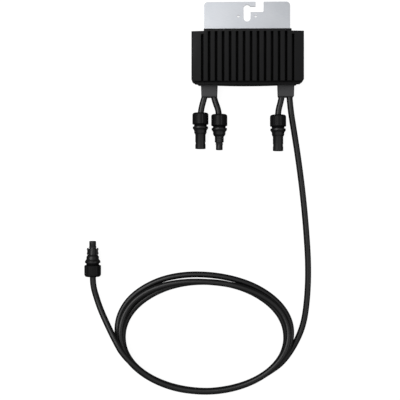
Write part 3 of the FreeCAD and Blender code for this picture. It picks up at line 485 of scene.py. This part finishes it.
def grown(name, mesh, tree, values, stands_for):
    """Runs a tree over a mesh once and keeps the result as a plain piece."""
    start = bpy.data.objects.new(name + "_start", mesh)
    bpy.context.scene.collection.objects.link(start)
    modifier = start.modifiers.new("grow", "NODES")
    modifier.node_group = tree
    for item in tree.interface.items_tree:
        if item.in_out == "INPUT" and item.name in values:
            modifier[item.identifier] = values[item.name]
    reached = start.evaluated_get(bpy.context.evaluated_depsgraph_get())
    plain = bpy.data.meshes.new_from_object(reached)
    bpy.data.objects.remove(start)
    piece = bpy.data.objects.new(name, plain)
    bpy.context.scene.collection.objects.link(piece)
    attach(piece, nodes[stands_for]["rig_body"])
    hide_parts(stands_for)
    return piece


def lathed(name, profile, steps=72):
    """A closed ring turned about Z from (radius, height) points in millimetres."""
    mesh = bpy.data.meshes.new(name)
    work = bmesh.new()
    rings = []
    for i in range(steps):
        turn = 2 * math.pi * i / steps
        rings.append([work.verts.new((radius * MM * math.cos(turn), radius * MM * math.sin(turn),
                                      height * MM)) for radius, height in profile])
    count = len(profile)
    for ring, following in zip(rings, rings[1:] + rings[:1]):
        for k in range(count):
            after = (k + 1) % count
            work.faces.new((ring[k], following[k], following[after], ring[after]))
    bmesh.ops.recalc_face_normals(work, faces=work.faces)
    work.to_mesh(mesh)
    work.free()
    return mesh


def scattered(name, places):
    """A mesh of loose points, given in millimetres."""
    mesh = bpy.data.meshes.new(name)
    mesh.from_pydata([[v * MM for v in place] for place in places], [], [])
    return mesh


NUT_RADIUS = 12.25
NUT_LENGTH = 17.5
NUT_CORNER = 3.0        # radius round the rear end
NUT_EYE = 6.15          # radius of the hole that the lead goes through
NUT_BORE = 9.6          # radius of the threaded bore
NUT_WALL = 4.0          # the rear wall's thickness
corner = [(NUT_RADIUS - NUT_CORNER + NUT_CORNER * math.sin(math.radians(a)),
           NUT_CORNER - NUT_CORNER * math.cos(math.radians(a))) for a in range(0, 91, 15)]
nut_profile = [(NUT_EYE, 0.35), (NUT_EYE + 0.35, 0.0)] + corner + [
    (NUT_RADIUS, NUT_LENGTH - 0.5), (NUT_RADIUS - 0.5, NUT_LENGTH),
    (NUT_BORE + 0.4, NUT_LENGTH), (NUT_BORE, NUT_LENGTH - 0.4), (NUT_BORE, NUT_WALL),
    (NUT_EYE, NUT_WALL)]
nut_tree = grip_nut_tree()
for connector, (x, y, towards, phase) in nut_places.items():
    grown(connector + "_grip_nut", lathed(connector + "_nut_body", nut_profile), nut_tree,
          {"Lobe Count": 8, "Lobe Circle": 10.45 * MM, "Lobe Radius": 2.35 * MM,
           "Lobe Start": 3.2 * MM, "Lobe Length": 13.6 * MM,
           "Phase": (0, 0, math.radians(phase)),
           "Turn": (math.radians(-90 * towards), 0, 0),
           "Position": (x * MM, y * MM, EXIT_Z * MM), "Material": polyamide_grip},
          connector + "_cap_nut")

SCREW_HEAD = 2.75       # head radius
SCREW_FACE = 4.2        # height of the heads' seats above the floor
low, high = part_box("cover_screws")
screw_places = [(x / MM, y / MM, SCREW_FACE)
                for x in (low.x + SCREW_HEAD * MM, high.x - SCREW_HEAD * MM)
                for y in (low.y + SCREW_HEAD * MM, high.y - SCREW_HEAD * MM)]
grown("cover_screw_set", scattered("screw_places", screw_places), socket_screw_tree(),
      {"Head Radius": SCREW_HEAD * MM, "Head Height": 2.0 * MM, "Shank Radius": 1.5 * MM,
       "Shank Length": 16.0 * MM, "Socket Radius": 1.4 * MM, "Turn": (0.0, 0.0, 0.0),
       "Material": zinc_plate}, "cover_screws")


# ---------------------------------------------------------------- floor and light
FLOOR_HALF = 6.0        # metres
FLOOR_DROP = -0.0003    # just under the object, so that no two faces meet
FLOOR_GLOW = 0.93
floor_material, tree, shader = blank("pale_floor")
shader.inputs["Base Color"].default_value = linear("#6a6a6a")
shader.inputs["Roughness"].default_value = 0.9
shader.inputs["Specular IOR Level"].default_value = 0.0
seen = node(tree, "ShaderNodeLightPath")
glow = node(tree, "ShaderNodeMath", {0: seen.outputs["Is Camera Ray"]}, operation="MULTIPLY")
glow.inputs[1].default_value = FLOOR_GLOW
shader.inputs["Emission Color"].default_value = (1, 1, 1, 1)
tree.links.new(glow.outputs[0], shader.inputs["Emission Strength"])
ground = bpy.data.meshes.new("floor")
ground.from_pydata([(x * FLOOR_HALF, y * FLOOR_HALF, FLOOR_DROP)
                    for x, y in ((-1, -1), (1, -1), (1, 1), (-1, 1))], [], [(0, 1, 2, 3)])
ground.materials.append(floor_material)
floor = bpy.data.objects.new("floor", ground)
bpy.context.scene.collection.objects.link(floor)

# Studio dome: bright overhead, dark towards the horizon, plain white to the camera.
world = bpy.data.worlds.new("studio")
bpy.context.scene.world = world
world.use_nodes = True
tree = world.node_tree
tree.nodes.clear()
towards = node(tree, "ShaderNodeTexCoord")
height = node(tree, "ShaderNodeSeparateXYZ", {"Vector": towards.outputs["Generated"]})
dome = node(tree, "ShaderNodeMapRange", {"Value": height.outputs["Z"]},
            interpolation_type="SMOOTHSTEP", From_Min=0.15, From_Max=0.95, To_Min=0.05, To_Max=0.85)
seen = node(tree, "ShaderNodeLightPath")
strength = node(tree, "ShaderNodeMix", {"Factor": seen.outputs["Is Camera Ray"],
                                        "A": dome.outputs[0]})
strength.inputs["B"].default_value = 1.0
sky = node(tree, "ShaderNodeBackground", {"Strength": strength.outputs[0]})
sky.inputs["Color"].default_value = (1, 1, 1, 1)
node(tree, "ShaderNodeOutputWorld", {"Surface": sky.outputs[0]})


def softbox(name, place, aim, size, power):
    """A rectangular lamp aimed at a point; metres and watts."""
    lamp = bpy.data.lights.new(name, "AREA")
    lamp.shape = "RECTANGLE"
    lamp.size, lamp.size_y = size
    lamp.energy = power
    obj = bpy.data.objects.new(name, lamp)
    obj.location = place
    obj.rotation_euler = (Vector(aim) - Vector(place)).to_track_quat("-Z", "Y").to_euler()
    bpy.context.scene.collection.objects.link(obj)


softbox("key_softbox", (-0.85, 0.25, 1.45), (0, -0.1, 0), (0.9, 1.2), 17)
softbox("fill_softbox", (1.5, -0.4, 1.2), (0, -0.2, 0), (0.8, 1.2), 4)
